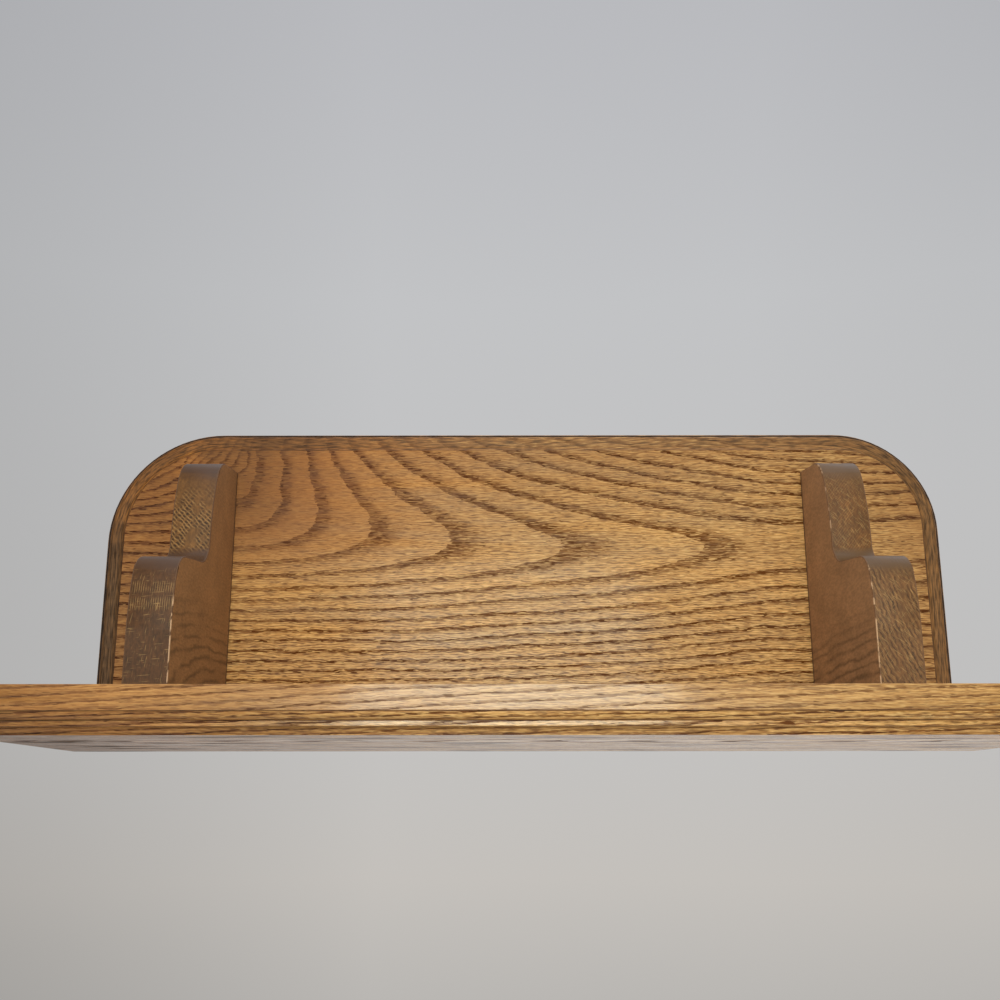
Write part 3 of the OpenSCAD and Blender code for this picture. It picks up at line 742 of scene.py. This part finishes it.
def sawn_oak(name, tones, marks, heart, figure_top):
    """Oak cut to shape on a band saw, sanded lightly and stained a plain deep brown, left matt.

    The eye gets smooth, softly mottled sides with a faint wavy figure at the foot, greyer rounded
    tops with a dull sheen, and fronts that keep the saw's marks. Tones are those of the sides, the
    upper front, the lower front and the tops.
    """
    material, t = new_material(name)
    mm, normal = surface(t)
    _, y, z = add(t, "SeparateXYZ", [mm]).node.outputs
    side, upper_front, lower_front, top = (linear(c) for c in tones)
    _, facing, rising = add(t, "SeparateXYZ", [normal]).node.outputs
    front = add(t, "MapRange", {"Value": facing, "From Min": -0.35, "From Max": -0.6})
    over = add(t, "MapRange", {"Value": rising, "From Min": 0.25, "From Max": 0.6})

    ripple = foot_figure(t, mm, heart, figure_top)
    side = add(t, "VectorMath", {"Vector": side[:3], "Scale": ripple}, operation="SCALE")
    grain = streaks(t, mm, (1.0, 3.0, 0.9))
    grain = add(t, "MapRange", {"Value": grain, "From Min": 0.35, "From Max": 0.65,
                                "To Min": 0.85, "To Max": 1.15})
    side = add(t, "VectorMath", {"Vector": side, "Scale": grain}, operation="SCALE")

    set_back = add(t, "MapRange", {"Value": y, "From Min": STEP_Y - 4, "From Max": STEP_Y + 4})
    face = add(t, "Mix", [set_back, lower_front, upper_front], data_type="RGBA")
    dark, pale = marks(t, mm)
    for mark, strength, tone in ((dark, 0.85, DENT_TONE), (pale, 0.5, RIDGE_TONE)):
        mark = add(t, "Math", [mark, strength], operation="MULTIPLY")
        face = add(t, "Mix", [mark, face, linear(tone)], data_type="RGBA")
    rough = streaks(t, mm, (1.2, 1.2, 2.4))
    rough = add(t, "MapRange", {"Value": rough, "From Min": 0.35, "From Max": 0.65,
                                "To Min": 0.8, "To Max": 1.2})
    face = add(t, "VectorMath", {"Vector": face, "Scale": rough}, operation="SCALE")
    colour = add(t, "Mix", [front, side, face], data_type="RGBA")
    colour = add(t, "Mix", [over, colour, top], data_type="RGBA")

    # Painted shadow: darker where the bracket meets the back board and the shelf board
    for value, start, end in ((y, BACK_FACE_Y - 3.45, BACK_FACE_Y - 0.95),
                              (z, SHELF_TOP_Z + 1.3, SHELF_TOP_Z + 0.4)):
        painted_contact_shade = add(t, "MapRange", {"Value": value, "From Min": start, "From Max": end,
                                       "To Min": 1.0, "To Max": 0.3})
        colour = add(t, "VectorMath", {"Vector": colour, "Scale": painted_contact_shade}, operation="SCALE")
    mottle = streaks(t, mm, (11, 18, 14), 3.0)
    mottle = add(t, "MapRange", {"Value": mottle, "From Min": 0.3, "From Max": 0.7,
                                 "To Min": 0.86, "To Max": 1.12})
    colour = add(t, "VectorMath", {"Vector": colour, "Scale": mottle}, operation="SCALE")

    sunk = add(t, "Math", [dark, front], operation="MULTIPLY")
    grit = streaks(t, mm, (1.1, 1.1, 1.1))
    height = add(t, "Math", [grit, 0.25, sunk], operation="MULTIPLY_ADD")
    bump = add(t, "Bump", {"Height": height, "Strength": 0.4, "Distance": 0.1 * MM}, invert=True)
    gloss = add(t, "MapRange", {"Value": over, "To Min": 0.62, "To Max": 0.42})
    shader = add(t, "BsdfPrincipled", {"Base Color": colour, "Roughness": gloss, "IOR": OAK_IOR,
                                       "Normal": bump})
    add(t, "OutputMaterial", [shader])
    return material


def worn_arris(name, tone, edge_x, top_z, share, upper_share):
    """The sanded arris of a bracket: plain brown, where knocks have bared pale wood in chips.

    The chips lie down the edge of the lower front at edge_x, below top_z, and at the same side of
    the upper front. A share is the noise level above which the wood is bare: a higher one leaves
    fewer chips. The second share is for the upper front's edge.
    """
    material, t = new_material(name)
    mm, _ = surface(t)
    x, y, z = add(t, "SeparateXYZ", [mm]).node.outputs
    off = add(t, "Math", [add(t, "Math", [x, edge_x], operation="SUBTRACT")], operation="ABSOLUTE")
    bare = add(t, "MapRange", {"Value": off, "From Min": 1.5, "From Max": 0.8})
    forward = add(t, "MapRange", {"Value": y, "From Min": STEP_Y - 7, "From Max": STEP_Y - 22})
    below = add(t, "MapRange", {"Value": z, "From Min": top_z, "From Max": top_z - 4.0})
    above = add(t, "MapRange", {"Value": z, "From Min": -16.0, "From Max": -12.0})
    chips = streaks(t, mm, (4, 4, 5), 3.0)
    lower = add(t, "MapRange", {"Value": chips, "From Min": share, "From Max": share + 0.06})
    lower = add(t, "Math", [lower, forward], operation="MULTIPLY")
    lower = add(t, "Math", [lower, below], operation="MULTIPLY")
    upper = add(t, "MapRange", {"Value": chips, "From Min": upper_share, "From Max": upper_share + 0.06,
                                "To Max": 0.6})
    upper = add(t, "Math", [upper, above], operation="MULTIPLY")
    chips = add(t, "Math", [lower, upper], operation="MAXIMUM")
    bare = add(t, "Math", [bare, chips], operation="MULTIPLY")
    colour = add(t, "Mix", [bare, linear(tone), linear(BARE_TONE)], data_type="RGBA")
    shader = add(t, "BsdfPrincipled", {"Base Color": colour, "Roughness": 0.6, "IOR": OAK_IOR})
    add(t, "OutputMaterial", [shader])
    return material


def plated_steel(name, tone, roughness):
    """Zinc-plated steel, pressed or turned: a grey metal with a faint mottle."""
    material, t = new_material(name)
    mm, _ = surface(t)
    mottle = streaks(t, mm, (3, 3, 3), 4.0)
    colour = add(t, "Mix", [mottle, linear(tone), linear("#8d8b85")], data_type="RGBA")
    gloss = add(t, "MapRange", {"Value": mottle, "To Min": roughness - 0.08, "To Max": roughness + 0.12})
    shader = add(t, "BsdfPrincipled", {"Base Color": colour, "Metallic": 1.0, "Roughness": gloss})
    add(t, "OutputMaterial", [shader])
    return material


def wear(node, *materials):
    """Gives a CAD node its material, and a second one for its eased edges if there is one."""
    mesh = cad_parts[node].data
    mesh.materials.clear()
    for material in materials:
        mesh.materials.append(material)


def ease_edges(node, width):
    """Rounds the sharp edges of a CAD node over, as sandpaper does."""
    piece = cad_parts[node]
    # The flat faces of the CAD mesh are joined first, or their edges would come apart
    weld = piece.modifiers.new("joined", "WELD")
    weld.merge_threshold = 0.01 * MM
    bevel = piece.modifiers.new("eased", "BEVEL")
    bevel.width = width * MM
    bevel.segments = 2
    bevel.limit_method = "ANGLE"
    bevel.angle_limit = math.radians(SHARP_DEG)
    bevel.harden_normals = True
    bevel.use_clamp_overlap = False
    bevel.material = len(piece.data.materials) - 1


place_camera()
pale_room(strength=0.6)
pale_floor(height=-0.55, radius=1.2)
area_light("front_light", place=(0.0, -1.25, 0.02), aim=(0.0, -0.08, 0.0), size=0.42, power=6.3,
           colour="#faffee")
area_light("top_light", place=(0.1, -0.6, 1.5), aim=(0.0, -0.08, 0.0), size=1.2, power=5,
           colour="#f4f7ff")

back_oak = stained_oak("flat_sawn_oak_back", back_board_rings, "x", BOARD_TONES, BOARD_END_TONE,
                       roughness=0.45, coat=0.14, stain=back_board_stain_and_shade, shine=0.4)
shelf_oak = stained_oak("flat_sawn_oak_shelf", shelf_board_rings, "x", BOARD_TONES, BOARD_END_TONE,
                        roughness=0.38, coat=0.45, stain=shelf_board_stain_and_shade, dash=(6.0, 0.5),
                        speckle=0.4, relief=0.9, fineness=0.6)
left_oak = sawn_oak("sawn_oak_bracket_left", ("#9b7147", "#7a5022", "#5b3819", "#533314"),
                    left_saw_marks, heart=(0, -5, -97), figure_top=-40.0)
right_oak = sawn_oak("sawn_oak_bracket_right", ("#a37a55", "#7b5024", "#774f28", "#664722"),
                     right_saw_marks, heart=(0, -27, -180), figure_top=-48.0)
left_arris = worn_arris("worn_oak_arris_left", "#6b4a2f", LEFT_INNER_X, top_z=-48.0,
                        share=0.48, upper_share=0.7)
right_arris = worn_arris("worn_oak_arris_right", "#765233", RIGHT_INNER_X, top_z=-34.0,
                         share=0.47, upper_share=0.5)
# The dowels are hidden in the joints: pale wood, turned and left bare, with the same kind of grain
dowel_wood = stained_oak("turned_hardwood_dowel", shelf_board_rings, "z", DOWEL_TONES, DOWEL_END_TONE,
                         roughness=0.6, coat=0.0)
plate_steel = plated_steel("pressed_zinc_steel", "#b9b8b2", 0.38)
screw_steel = plated_steel("turned_zinc_steel", "#c2bda6", 0.32)

wear("back_board", back_oak)
wear("shelf_board", shelf_oak)
wear("bracket_left", left_oak, left_arris)
wear("bracket_right", right_oak, right_arris)
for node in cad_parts:
    if "dowel" in node:
        wear(node, dowel_wood)
    elif "screw" in node:
        wear(node, screw_steel)
    elif "hanger" in node:
        wear(node, plate_steel)
for node, width in (("shelf_board", EASED), ("bracket_left", WORN), ("bracket_right", WORN)):
    ease_edges(node, width)

bpy.context.scene.view_settings.view_transform = "Standard"
